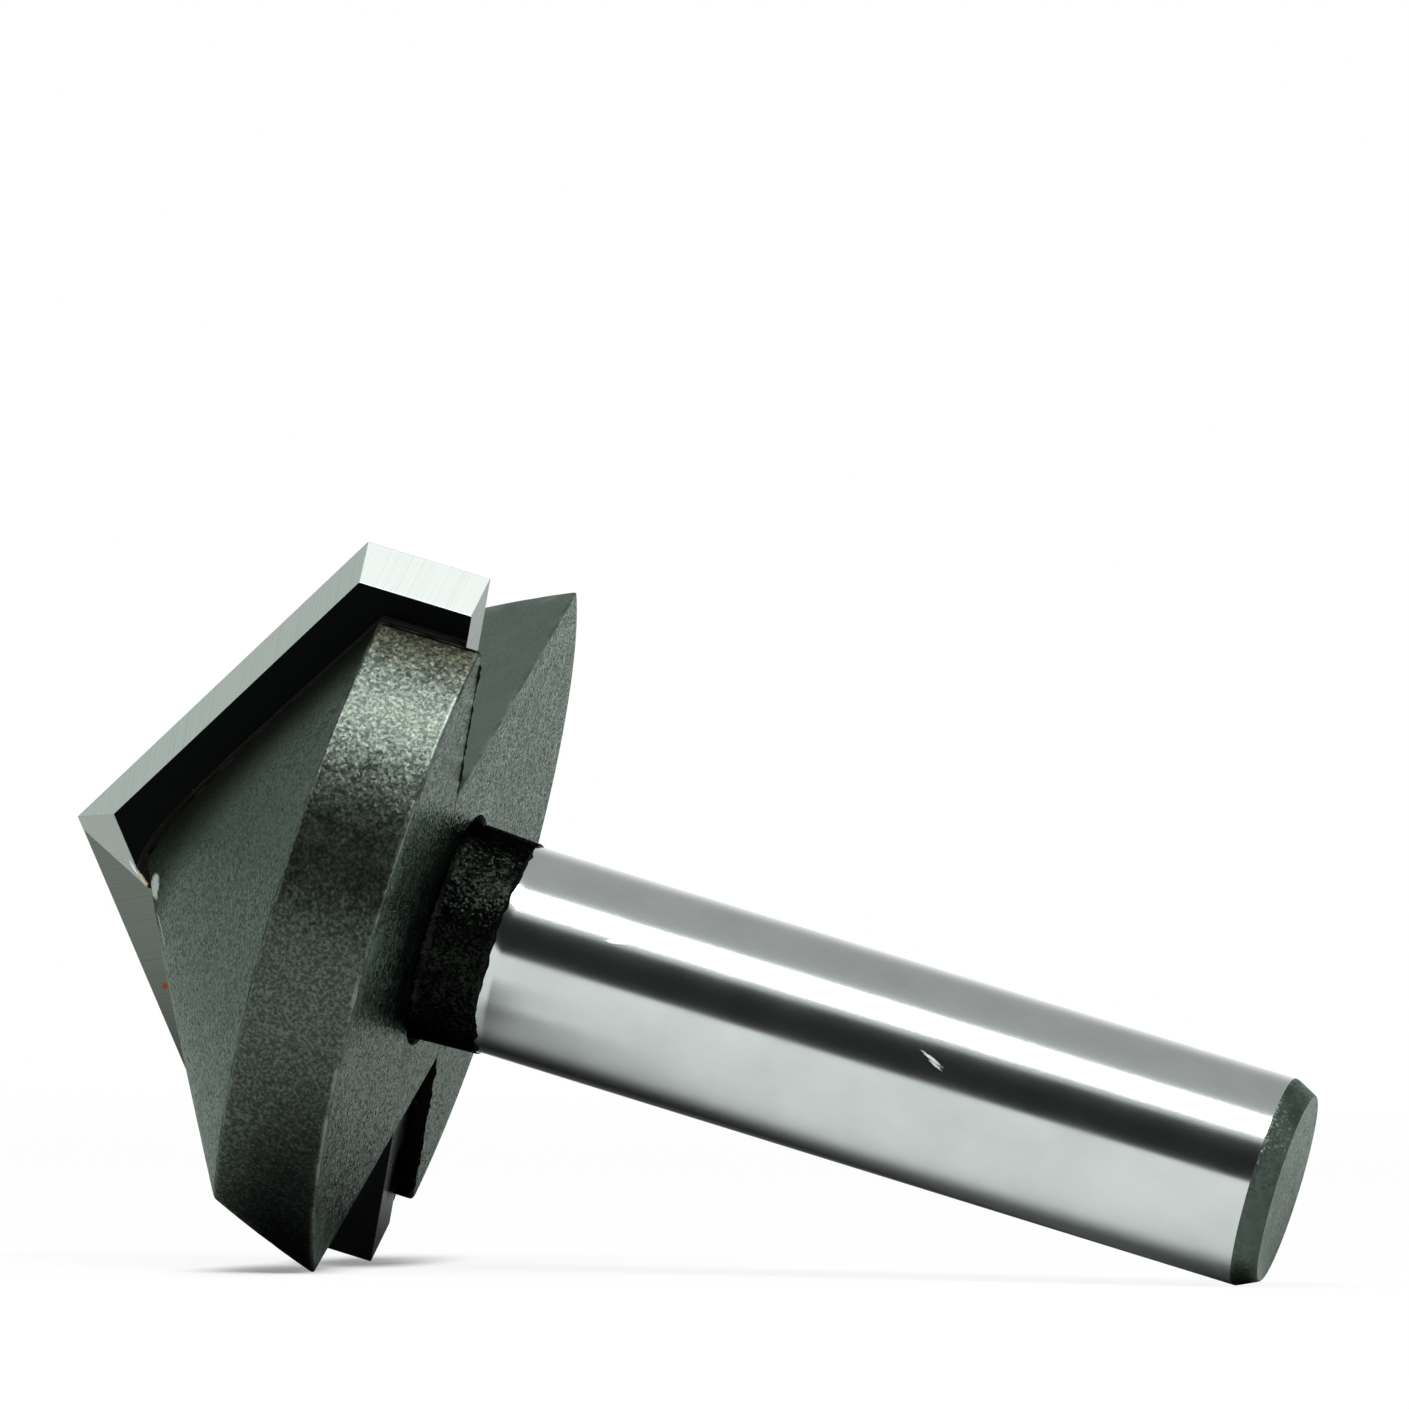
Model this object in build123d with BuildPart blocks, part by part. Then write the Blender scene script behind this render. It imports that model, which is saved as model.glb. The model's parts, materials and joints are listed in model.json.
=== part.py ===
"""Two-flute chamfer milling cutter with brazed carbide tips, lying on its side.

A turned and milled steel body carries two carbide plates on milled seats. The
plates meet at the point and cut a V groove or a chamfer; a round shank at the
back is what the machine's collet grips.

The cutter is drawn about its own axis first: +Z from the point to the shank,
+X along the first cutting edge, +Y the way the metal trails behind that edge.
It is then laid on its side as it comes to rest, with +Z up, the table at Z = 0,
+X along the cutter towards the shank and the origin under the middle of it.
"""

import os
from math import cos, hypot, radians, sin, tan

from build123d import *

# Overall sizes, in millimetres and degrees
cutting_diameter = 32.0
point_angle = 120.0
overall_length = 47.8
flute_count = 2

# Shank and neck: the neck is left as turned, a little larger than the ground shank
shank_diameter = 8.0
neck_root_diameter = 8.4
neck_end_diameter = 8.2
neck_length = 2.5
neck_root_fillet = 0.3
shank_chamfer_length = 0.8
shank_chamfer_depth = 0.4

# Steel head
head_diameter = 29.5
head_back_height = 14.7
head_cone_setback = 1.75
head_cone_angle = 117.0
head_edge_break = 0.12
seat_edge_radius = 0.35

# Gullets: each has a flat wall that leans across the axis towards the point
gullet_wall_angle = 38.0
gullet_wall_offset = 7.6

# Carbide plates
land_length = 4.8
carbide_thickness = 2.15
core_overlap = 0.5
edge_relief = 14.0
land_relief = 10.0
backoff_azimuth = 111.6
backoff_tilt = 32.6
grinding_allowance = 2.0

# Braze between a plate and its pocket
braze_thickness = 0.15
braze_recess = 0.05

# Sizes that follow
cutting_radius = cutting_diameter / 2
head_radius = head_diameter / 2
shank_radius = shank_diameter / 2
neck_root_radius = neck_root_diameter / 2
neck_end_radius = neck_end_diameter / 2
half_point = radians(point_angle / 2)
land_back_height = cutting_radius / tan(half_point) + land_length
cone_slope = tan(radians(head_cone_angle / 2))
neck_back_height = head_back_height + neck_length
shank_grip_end = overall_length - shank_chamfer_length
seat_depth = carbide_thickness + braze_thickness
clear_of_head = cutting_diameter


def cone_height(radius):
    """Height of the turned cone where it has this radius."""
    return head_cone_setback + radius / cone_slope


def gullet_wall_at(height):
    """Distance of a gullet's wall from the axis, towards its own plate, at this height."""
    return gullet_wall_offset - (head_back_height - height) * tan(radians(gullet_wall_angle))


def pocket_outline(clearance):
    """Corners of what fills a plate's pocket up to this clearance from the gullet's wall.

    Seen square to the plate, as (towards the cutting edge, along the axis). Next to the
    point the side runs along the axis, just past it, to keep the other plate's face free.
    """
    wall_start = head_back_height - (
        gullet_wall_offset + clearance + core_overlap
    ) / tan(radians(gullet_wall_angle))
    return [
        (-core_overlap, wall_start),
        (-core_overlap, -grinding_allowance),
        (cutting_radius + grinding_allowance, -grinding_allowance),
        (cutting_radius + grinding_allowance, land_back_height),
        (gullet_wall_at(land_back_height) + clearance, land_back_height),
    ]


seat_plane = Plane.XZ.offset(-seat_depth)
plate_back_plane = Plane.XZ.offset(-carbide_thickness)

# Relief planes through the two cutting edges, and the facet that backs the plate off at the point
edge_relief_plane = Plane(
    origin=(0, 0, 0),
    z_dir=(
        cos(half_point) * cos(radians(edge_relief)),
        sin(radians(edge_relief)),
        -sin(half_point) * cos(radians(edge_relief)),
    ),
)
land_relief_plane = Plane(
    origin=(cutting_radius, 0, 0),
    z_dir=(cos(radians(land_relief)), sin(radians(land_relief)), 0),
)
backoff_plane = Plane(
    origin=(0, 0, 0),
    z_dir=(
        cos(radians(backoff_azimuth)) * cos(radians(backoff_tilt)),
        sin(radians(backoff_azimuth)) * cos(radians(backoff_tilt)),
        -sin(radians(backoff_tilt)),
    ),
)

# Section that is turned: a cone, a band, a neck with a rounded root and the shank
with BuildSketch(Plane.XZ) as turned_section:
    with BuildLine():
        Polyline(
            (0, cone_height(0)),
            (head_radius, cone_height(head_radius)),
            (head_radius, head_back_height),
            (neck_root_radius, head_back_height),
            (neck_end_radius, neck_back_height),
            (shank_radius, neck_back_height),
            (shank_radius, shank_grip_end),
            (shank_radius - shank_chamfer_depth, overall_length),
            (0, overall_length),
            close=True,
        )
    make_face()
    neck_corner = turned_section.vertices().filter_by(lambda corner: abs(corner.X - neck_root_radius) < 1e-6)
    fillet(neck_corner, neck_root_fillet)

# The same section with the band's two rims broken
with BuildSketch(Plane.XZ) as broken_section:
    add(turned_section.sketch_local)
    band_corners = broken_section.vertices().filter_by(lambda corner: abs(corner.X - head_radius) < 1e-6)
    chamfer(band_corners, head_edge_break)

# Steel body: turned in one piece, each gullet and its plate's seat milled in one pass, the
# seat's outer edge rounded, and the band's rims broken last
with BuildPart() as cutter_body:
    revolve(turned_section.sketch, axis=Axis.Z)
    with BuildSketch(seat_plane):
        with BuildLine():
            Polyline(
                (gullet_wall_at(-clear_of_head), -clear_of_head),
                (clear_of_head, -clear_of_head),
                (clear_of_head, neck_back_height),
                (gullet_wall_at(neck_back_height), neck_back_height),
                close=True,
            )
        make_face()
    gullet = extrude(amount=clear_of_head, mode=Mode.PRIVATE)
    with PolarLocations(0, flute_count):
        add(gullet, mode=Mode.SUBTRACT)
    seats = cutter_body.faces().filter_by(Axis.Y)
    seat_rims = seats.edges().filter_by(
        lambda edge: edge.geom_type != GeomType.LINE or abs(edge.tangent_at(0.5).Z) > 0.99
    )
    fillet(seat_rims, seat_edge_radius)
    revolve(broken_section.sketch, axis=Axis.Z, mode=Mode.INTERSECT)

# Carbide plate: a flat plate ground to its two cutting edges and backed off at the point
with BuildPart() as carbide_plate:
    with BuildSketch(plate_back_plane):
        with BuildLine():
            Polyline(*pocket_outline(braze_thickness), close=True)
        make_face()
    extrude(amount=carbide_thickness)
    split(bisect_by=edge_relief_plane, keep=Keep.BOTTOM)
    split(bisect_by=land_relief_plane, keep=Keep.BOTTOM)
    split(bisect_by=backoff_plane, keep=Keep.BOTTOM)

# Braze: the film under the plate and beside it, a little below the turned surface
with BuildPart() as braze_seam:
    with BuildSketch(Plane.XZ):
        with BuildLine():
            Polyline(
                (0, cone_height(0)),
                (head_radius - braze_recess, cone_height(head_radius - braze_recess)),
                (head_radius - braze_recess, head_back_height),
                (0, head_back_height),
                close=True,
            )
        make_face()
    revolve(axis=Axis.Z)
    with BuildSketch(seat_plane):
        with BuildLine():
            Polyline(*pocket_outline(0), close=True)
        make_face()
    extrude(amount=seat_depth, mode=Mode.INTERSECT)
    add(carbide_plate.part, mode=Mode.SUBTRACT)
    split(bisect_by=backoff_plane, keep=Keep.BOTTOM)

# Resting on a table: the trailing back corner of the first wing, the outer back corner of the
# second plate and the rim where the shank's chamfer starts touch it
wing_rim_radius = head_radius - head_edge_break
wing_corner = Vector(
    -gullet_wall_offset,
    (wing_rim_radius**2 - gullet_wall_offset**2) ** 0.5,
    head_back_height,
)
plate_corner = Vector(-cutting_radius, 0, land_back_height)
down = Vector(-1, 1, 0)
for _ in range(40):
    reach = shank_radius / hypot(down.X, down.Y)
    shank_rim = Vector(down.X * reach, down.Y * reach, shank_grip_end)
    down = (shank_rim - plate_corner).cross(wing_corner - plate_corner).normalized()
    if down.dot(shank_rim) < 0:
        down = -down
table = Plane(origin=shank_rim, x_dir=Vector(0, 0, 1) - down * down.Z, z_dir=-down)

# The second plate and its braze are the first ones turned half round
half_turns = [Location((0, 0, 0), (0, 0, 360 / flute_count * flute)) for flute in range(flute_count)]
on_table = [table.to_local_coords(cutter_body.part)]
for turn in half_turns:
    on_table.append(table.to_local_coords(turn * carbide_plate.part))
footprint = Compound(on_table).bounding_box()
resting_place = Pos(
    -footprint.center().X, -footprint.center().Y, -footprint.min.Z
) * table.location.inverse()


def lay_down(piece, label, turn=Location()):
    """Write a piece, turned about the cutter's axis, as it lies on the table."""
    with BuildPart() as laid:
        with Locations(resting_place * turn):
            add(piece)
    laid.part.label = label
    export_step(laid.part, f"parts/{label}.step")


os.makedirs("parts", exist_ok=True)
lay_down(cutter_body.part, "cutter_body")
for number, turn in enumerate(half_turns, start=1):
    lay_down(carbide_plate.part, f"carbide_tip_{number}", turn)
    lay_down(braze_seam.part, f"braze_seam_{number}", turn)
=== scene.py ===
import json
import logging
from collections.abc import Callable, Sequence
from dataclasses import dataclass
from enum import Enum, IntEnum
from functools import partial
from math import cos, pi, radians, sin, tan

import bmesh
import bpy
import numpy as np
from bpy.types import Material, Node, NodeSocket, NodeTree, Object
from mathutils import Matrix, Vector


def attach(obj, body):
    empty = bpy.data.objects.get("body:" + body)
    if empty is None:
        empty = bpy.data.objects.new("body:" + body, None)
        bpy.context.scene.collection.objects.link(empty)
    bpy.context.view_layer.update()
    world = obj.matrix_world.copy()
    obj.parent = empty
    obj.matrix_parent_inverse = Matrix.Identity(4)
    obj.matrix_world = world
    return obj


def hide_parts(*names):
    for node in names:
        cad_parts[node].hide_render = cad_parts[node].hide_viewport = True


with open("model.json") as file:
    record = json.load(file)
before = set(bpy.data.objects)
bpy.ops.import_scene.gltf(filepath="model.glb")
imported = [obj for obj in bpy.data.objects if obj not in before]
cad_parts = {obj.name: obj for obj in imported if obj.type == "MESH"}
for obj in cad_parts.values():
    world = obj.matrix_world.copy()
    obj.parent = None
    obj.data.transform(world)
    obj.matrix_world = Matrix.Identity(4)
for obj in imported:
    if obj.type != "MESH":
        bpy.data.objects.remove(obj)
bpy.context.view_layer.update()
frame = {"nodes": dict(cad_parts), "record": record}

MM = 0.001
MERGE_DISTANCE = 2e-7
SHORTEST_EDGE = 1e-8
SHARP_ANGLE = radians(32)
# Turns the first flute's places, or its directions, into the second's
HALF_TURN = np.array([-1.0, -1.0, 1.0])

Adder = Callable[..., Node]
Triple = tuple[float, float, float]

log = logging.getLogger("chamfer_cutter")


class Slot(Enum):
    """The record's material slots."""

    STEEL = "tool_steel"
    CARBIDE = "tungsten_carbide"
    BRAZE = "silver_braze"


class Zone(IntEnum):
    """Surfaces of the steel body, each with its own finish."""

    CONE = 0
    BAND = 1
    GULLET = 2
    SEAT = 3
    BACK = 4
    NECK = 5
    SHANK = 6
    CHAMFER = 7
    END = 8


class Face(IntEnum):
    """Surfaces of a carbide plate, each with its own finish."""

    SINTERED = 0
    RAKE = 1
    FLANK = 2
    LAND = 3
    FACET = 4


class Seam(Enum):
    """Where braze has set in the open: along a seat's rounded edge, or behind the plate's end."""

    EDGE = "edge"
    END = "end"


def linear(colour: str) -> tuple[float, float, float, float]:
    """Turn an sRGB hex colour into linear light.

    Args:
        colour: Six hex digits, red first.

    Returns:
        Linear red, green, blue and an alpha of one.
    """
    coded = np.array([int(colour[at:at + 2], 16) for at in (0, 2, 4)]) / 255
    light = np.where(coded <= 0.04045, coded / 12.92, ((coded + 0.055) / 1.055) ** 2.4)
    return (*light.tolist(), 1.0)


def fill(node: Node, inputs: dict) -> None:
    """Give a node's inputs their values and links.

    Args:
        node: The node.
        inputs: What goes into each input, by its name or number: a value, an output socket, or
            a node, which stands for its first output in use.
    """
    for key, value in inputs.items():
        if isinstance(value, Node):
            value = next(socket for socket in value.outputs if socket.enabled)
        if isinstance(value, NodeSocket):
            node.id_data.links.new(value, node.inputs[key])
        else:
            node.inputs[key].default_value = value


def add_node(tree: NodeTree, kind: str, inputs: dict | None = None, **settings: str) -> Node:
    """Add a node with its settings, values and links.

    Args:
        tree: The node tree it goes into.
        kind: The name of the shader node's type, without its prefix.
        inputs: What goes into its inputs, as in fill.
        settings: The node's own properties.

    Returns:
        The new node.
    """
    node = tree.nodes.new("ShaderNode" + kind)
    for name, value in settings.items():
        setattr(node, name, value)
    fill(node, inputs or {})
    return node


def layered(add: Adder, base: str, *coats: tuple[Node | float, str]) -> Node:
    """Lay coats of colour over each other.

    Args:
        add: Adds a node to the material.
        base: The lowest coat's sRGB hex colour.
        coats: How much each next coat covers, from 0 to 1, and its colour.

    Returns:
        The node that gives the colour.
    """
    colour = linear(base)
    for share, shade in coats:
        colour = add("Mix", {0: share, 6: colour, 7: linear(shade)}, data_type="RGBA")
    return colour


def node_arrays(name: str) -> tuple[np.ndarray, np.ndarray]:
    """Read a CAD node's mesh.

    Args:
        name: The node's name.

    Returns:
        Its corner points in metres and its triangles as corner numbers.
    """
    mesh = frame["nodes"][name].data
    points = np.empty(len(mesh.vertices) * 3, np.float32)
    mesh.vertices.foreach_get("co", points)
    mesh.calc_loop_triangles()
    triangles = np.empty(len(mesh.loop_triangles) * 3, np.int32)
    mesh.loop_triangles.foreach_get("vertices", triangles)
    return points.reshape(-1, 3).astype(float), triangles.reshape(-1, 3)


@dataclass(frozen=True)
class ToolAxes:
    """The cutter's own axes as it lies on the table: from the point along the shank is +Z,
    along the first cutting edge is +X, and the metal trails behind that edge towards +Y."""

    point: np.ndarray
    turn: np.ndarray

    @classmethod
    def from_frame(cls) -> "ToolAxes":
        """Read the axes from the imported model.

        Returns:
            Axes whose point is the first plate's foremost corner, whose Z is the shank mount's
            axis and whose X goes out from that axis through the plate's widest corner.
        """
        along = np.array(frame["record"]["mounts"][0]["axis"], float)
        along /= np.linalg.norm(along)
        corners, _ = node_arrays("carbide_tip_1")
        point = corners[np.argmin(corners[:, 0])]
        outwards = (corners - point) - np.outer((corners - point) @ along, along)
        outward = outwards[np.argmax(np.linalg.norm(outwards, axis=1))]
        outward /= np.linalg.norm(outward)
        return cls(point, np.stack([outward, np.cross(along, outward), along], axis=1))

    def to_table(self, points: np.ndarray) -> np.ndarray:
        """Carry points from the cutter's millimetres to the table's metres."""
        return points * MM @ self.turn.T + self.point

    def to_cutter(self, directions: np.ndarray) -> np.ndarray:
        """Carry directions from the table's axes to the cutter's."""
        return directions @ self.turn

    def millimetres(self, add: Adder) -> Node:
        """Give a material the place of each point in the cutter's own millimetres.

        Args:
            add: Adds a node to the material.

        Returns:
            The node that gives the place.
        """
        return add("Mapping", {
            "Vector": add("TexCoord").outputs["Object"],
            "Scale": (1 / MM,) * 3,
            "Rotation": Matrix(self.turn.T.tolist()).to_euler(),
            "Location": (-self.turn.T @ self.point / MM).tolist(),
        }, vector_type="POINT")


def grid_quads(rows: int, columns: int, closed: bool) -> np.ndarray:
    """Join a grid of points into quads.

    Args:
        rows: How many rows of points there are.
        columns: How many points a row has.
        closed: Whether the last column joins the first.

    Returns:
        Four corner numbers for each quad, row by row.
    """
    across = columns if closed else columns - 1
    row, column = np.meshgrid(np.arange(rows - 1), np.arange(across), indexing="ij")
    here = row * columns + column
    beside = row * columns + (column + 1) % columns
    return np.stack([here, beside, beside + columns, here + columns], axis=-1).reshape(-1, 4)


def raised(plan: np.ndarray, heights: np.ndarray) -> np.ndarray:
    """Give every row of places in plan its height."""
    levels = np.broadcast_to(heights[:, None, None], (*plan.shape[:2], 1))
    return np.concatenate([plan, levels], axis=2)


def make_piece(name: str, points: np.ndarray, faces: np.ndarray, zones: np.ndarray | int = 0,
               wear_and_highlight: np.ndarray | None = None) -> Object:
    """Make an object from computed arrays, with its doubles merged and its faces outwards.

    Args:
        name: The piece's name.
        points: Places in the table's metres.
        faces: Corner numbers of each face.
        zones: The material number of each face, or of all.
        wear_and_highlight: How far each point is worn bright and painted with an edge highlight, from 0 to
            1.

    Returns:
        The new object, at the origin.
    """
    mesh = bpy.data.meshes.new(name)
    mesh.from_pydata(points.tolist(), [], faces.tolist())
    mesh.polygons.foreach_set("material_index", np.broadcast_to(zones, len(faces)).astype(np.int32))
    if wear_and_highlight is not None:
        layer = mesh.attributes.new("wear_and_highlight", "FLOAT", "POINT")
        layer.data.foreach_set("value", wear_and_highlight.astype(np.float32))
    shell = bmesh.new()
    shell.from_mesh(mesh)
    bmesh.ops.remove_doubles(shell, verts=shell.verts, dist=MERGE_DISTANCE)
    bmesh.ops.dissolve_degenerate(shell, edges=shell.edges, dist=SHORTEST_EDGE)
    bmesh.ops.recalc_face_normals(shell, faces=shell.faces)
    shell.to_mesh(mesh)
    shell.free()
    mesh.shade_smooth()
    mesh.set_sharp_from_angle(angle=SHARP_ANGLE)
    piece = bpy.data.objects.new(name, mesh)
    bpy.context.scene.collection.objects.link(piece)
    return piece


def wander(count: int, step: float, seed: int) -> np.ndarray:
    """Make a smooth wandering value: evenly spaced random values with cosine blends between.

    Args:
        count: How many values are wanted.
        step: How many values pass from one random value to the next.
        seed: The seed of the random values.

    Returns:
        Values from -1 to 1.
    """
    knots = np.random.default_rng(seed).uniform(-1, 1, int(count / step) + 3)
    at = np.arange(count) / step
    low = at.astype(int)
    share = (1 - np.cos((at - low) * pi)) / 2
    return knots[low] * (1 - share) + knots[low + 1] * share


@dataclass(frozen=True)
class Mark:
    """A small long mark on a surface, such as a nick, a chip or a spot of rust. Places and sizes
    are in the cutter's own millimetres. The noise that makes its outline ragged, and where the
    outline starts and ends its fade, are in half widths."""

    centre: Triple
    along: Triple
    half_length: float
    half_width: float
    noise_size: float = 1 / 0.9
    noise_reach: float = 1.8
    fade: tuple[float, float] = (1.6, 2.0)

    def mask(self, add: Adder, place: Node) -> Node:
        """Say how far a point is inside the mark.

        The offset from the centre is split along and across the mark, and the part along it is
        shrunk by the mark's proportions. The length of the two together, with noise added that
        makes the outline ragged, then fades over the mark's edge.

        Args:
            add: Adds a node to the material.
            place: The node that gives the place.

        Returns:
            The node that gives 1 inside the mark and 0 outside.
        """
        way = tuple(Vector(self.along).normalized())
        offset = add("VectorMath", {0: place, 1: self.centre}, operation="SUBTRACT")
        forward = add("VectorMath", {0: offset, 1: way}, operation="DOT_PRODUCT")
        run = add("VectorMath", {0: way, "Scale": forward}, operation="SCALE")
        sideways = add("VectorMath", {0: offset, 1: run}, operation="SUBTRACT")
        shrunk = add("VectorMath", {0: run, "Scale": self.half_width / self.half_length}, operation="SCALE")
        both = add("VectorMath", {0: sideways, 1: shrunk}, operation="ADD")
        far = add("VectorMath", {0: both}, operation="LENGTH")
        noise = add("TexNoise", {
            "Vector": place, "Scale": 1 / (self.noise_size * self.half_width),
            "Detail": 3.0, "Roughness": 0.65,
        })
        reach = self.noise_reach * self.half_width
        ragged = add("Math", {0: noise, 1: reach, 2: far}, operation="MULTIPLY_ADD")
        inner, outer = (limit * self.half_width for limit in self.fade)
        return add("MapRange", {
            "Value": ragged, "From Min": inner, "From Max": outer, "To Min": 1.0, "To Max": 0.0,
        })


@dataclass(frozen=True)
class Finish:
    """A metal's finish: the axes that its patterns follow, its marks, and steps that several
    finishes take. Pattern sizes and depths are in millimetres, colours in sRGB hex."""

    axes: ToolAxes
    marks: tuple[Mark, ...] = ()
    name: str = "metal"
    roughness: float = 0.4

    def surface(self, add: Adder, place: Node) -> dict:
        """Work out the surface.

        Args:
            add: Adds a node to the material.
            place: The node that gives the place in the cutter's own millimetres.

        Returns:
            What goes into the shader's inputs.
        """
        raise NotImplementedError

    def material(self) -> Material:
        """Build the node material.

        Returns:
            The material.
        """
        material = bpy.data.materials.new(self.name)
        material.use_nodes = True
        shader = material.node_tree.nodes["Principled BSDF"]
        shader.inputs["Metallic"].default_value = 1.0
        add = partial(add_node, material.node_tree)
        fill(shader, self.surface(add, self.axes.millimetres(add)))
        return material

    def marked(self, add: Adder, place: Node) -> Node | float:
        """Join the masks of all the marks.

        Args:
            add: Adds a node to the material.
            place: The node that gives the place.

        Returns:
            The largest of the masks, or plain 0 where there are no marks.
        """
        share = 0.0
        for mark in self.marks:
            share = add("Math", {0: mark.mask(add, place), 1: share}, operation="MAXIMUM")
        return share

    def beside_plates(self, add: Adder, across: NodeSocket, fade: tuple[float, float], most: float) -> Node:
        """Mask the strips beside the plates: for the stain that the brazing heat has left, and for painted
        shade beside the plates' back walls.

        Args:
            add: Adds a node to the material.
            across: The place square to the plates.
            fade: How far from the axis the strip starts to fade, and where it is gone.
            most: The mask inside the strip.

        Returns:
            The node that gives the mask.
        """
        return add("MapRange", {
            "Value": add("Math", {0: across}, operation="ABSOLUTE"),
            "From Min": fade[0], "From Max": fade[1], "To Min": most, "To Max": 0.0,
        }, interpolation_type="SMOOTHSTEP")

    def wear_and_highlight_mask(self, add: Adder, patches: Node) -> Node:
        """Mask the edges that are worn bright and painted with edge highlights, in broken patches.

        Args:
            add: Adds a node to the material.
            patches: The noise that breaks them.

        Returns:
            The node that gives the mask.
        """
        wear_and_highlight = add("Attribute", attribute_name="wear_and_highlight")
        broken = add("MapRange", {"Value": patches, "From Min": 0.44, "From Max": 0.62, "To Max": 0.7})
        return add("Math", {0: wear_and_highlight.outputs[2], 1: broken}, operation="MULTIPLY")

    def gloss(self, add: Adder, noise: Node, below: float = 0.05, above: float = 0.05) -> Node:
        """Let the roughness wander.

        Args:
            add: Adds a node to the material.
            noise: The noise that it follows.
            below: How far it goes below the finish's own roughness.
            above: How far it goes above.

        Returns:
            The node that gives the roughness.
        """
        return add("MapRange", {
            "Value": noise, "From Min": 0.3, "From Max": 0.7,
            "To Min": self.roughness - below, "To Max": self.roughness + above,
        })

    def grained(self, add: Adder, place: Node, size: float, tilt: float, normal: Node) -> Node:
        """Tilt the surface a little in each small cell, as etched or blasted grains are. The real
        grains are finer than the cells, which are as coarse as they need to be to show.

        Args:
            add: Adds a node to the material.
            place: The node that gives the place.
            size: How wide a grain is.
            tilt: How far a grain's face leans, as a share of the normal's length.
            normal: The normal that is tilted.

        Returns:
            The node that gives the tilted normal.
        """
        cells = add("TexVoronoi", {"Vector": place, "Scale": 1 / size})
        spread = add("VectorMath", {0: cells.outputs["Color"], 1: (0.5,) * 3}, operation="SUBTRACT")
        lean = add("VectorMath", {0: spread, "Scale": 2 * tilt}, operation="SCALE")
        tilted = add("VectorMath", {0: normal, 1: lean}, operation="ADD")
        return add("VectorMath", {0: tilted}, operation="NORMALIZE")


@dataclass(frozen=True)
class OxidisedSteel(Finish):
    """Alloy tool steel as machined, under a thin black oxide from the brazing heat: the film
    mirrors a few hundredths of the light, a little green, and more of it at a slant. Rings from
    the turning insert show faintly, and the edges are worn bright, partly as painted edge
    highlights. Beside the plates' back walls the steel is painted black and matt as painted shade."""

    name: str = "oxidised_turned_steel"
    roughness: float = 0.34
    shade: str = "28302B"
    cloud: str = "37403A"
    wear_and_highlight_shade: str = "8E9A93"
    mark_shade: str = "A2AEA7"
    painted_shade: str = "0D0E0B"
    painted_shade_share: float = 0.95
    painted_shade_fade: tuple[float, float] = (3.2, 6.2)
    painted_shade_roughness: float = 0.8
    wear_and_highlight_roughness: float = 0.5
    gleam: str = "E4F2E9"
    ring_pitch: float = 0.16
    ring_depth: float = 0.002
    cloud_size: float = 1.3
    grain_size: float = 0.08
    grain_tilt: float = 0.2

    def surface(self, add: Adder, place: Node) -> dict:
        """Lay film, painted shade beside the plates, and worn edges with painted edge highlights over
        faint rings, which are one noise along height plus radius, because that changes across every turned
        face.

        Args:
            add: Adds a node to the material.
            place: The node that gives the place in the cutter's own millimetres.

        Returns:
            What goes into the shader's inputs.
        """
        parts = add("SeparateXYZ", {0: place})
        flat = add("VectorMath", {0: place, 1: (1, 1, 0)}, operation="MULTIPLY")
        radius = add("VectorMath", {0: flat}, operation="LENGTH")
        along = add("Math", {0: radius, 1: parts.outputs[2]}, operation="ADD")
        rings = add("TexNoise", {
            "W": along, "Scale": 1 / self.ring_pitch, "Detail": 3.0, "Roughness": 0.6,
        }, noise_dimensions="1D")
        clouds = add("TexNoise", {
            "Vector": place, "Scale": 1 / self.cloud_size, "Detail": 5.0, "Roughness": 0.65,
        })
        cloudy = add("MapRange", {"Value": clouds, "From Min": 0.35, "From Max": 0.65})
        # Painted shade: beside the plates' black back walls the steel is painted near-black and matt
        near = self.beside_plates(add, parts.outputs[1], self.painted_shade_fade, self.painted_shade_share)
        wear_and_highlight_mask = self.wear_and_highlight_mask(add, clouds)
        mark = self.marked(add, place)
        bright = add("Math", {0: wear_and_highlight_mask, 1: mark}, operation="MAXIMUM")
        matt = add("Mix", {
            0: near, 2: self.gloss(add, clouds), 3: self.painted_shade_roughness,
        }, data_type="FLOAT")
        bump = add("Bump", {"Height": rings, "Distance": self.ring_depth * MM, "Strength": 1.0})
        return {
            "Base Color": layered(
                add, self.shade, (cloudy, self.cloud), (near, self.painted_shade), (wear_and_highlight_mask, self.wear_and_highlight_shade),
                (mark, self.mark_shade),
            ),
            "Roughness": add("Mix", {0: bright, 2: matt, 3: self.wear_and_highlight_roughness}, data_type="FLOAT"),
            "Specular Tint": linear(self.gleam),
            "Normal": self.grained(add, place, self.grain_size, self.grain_tilt, bump),
        }


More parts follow.
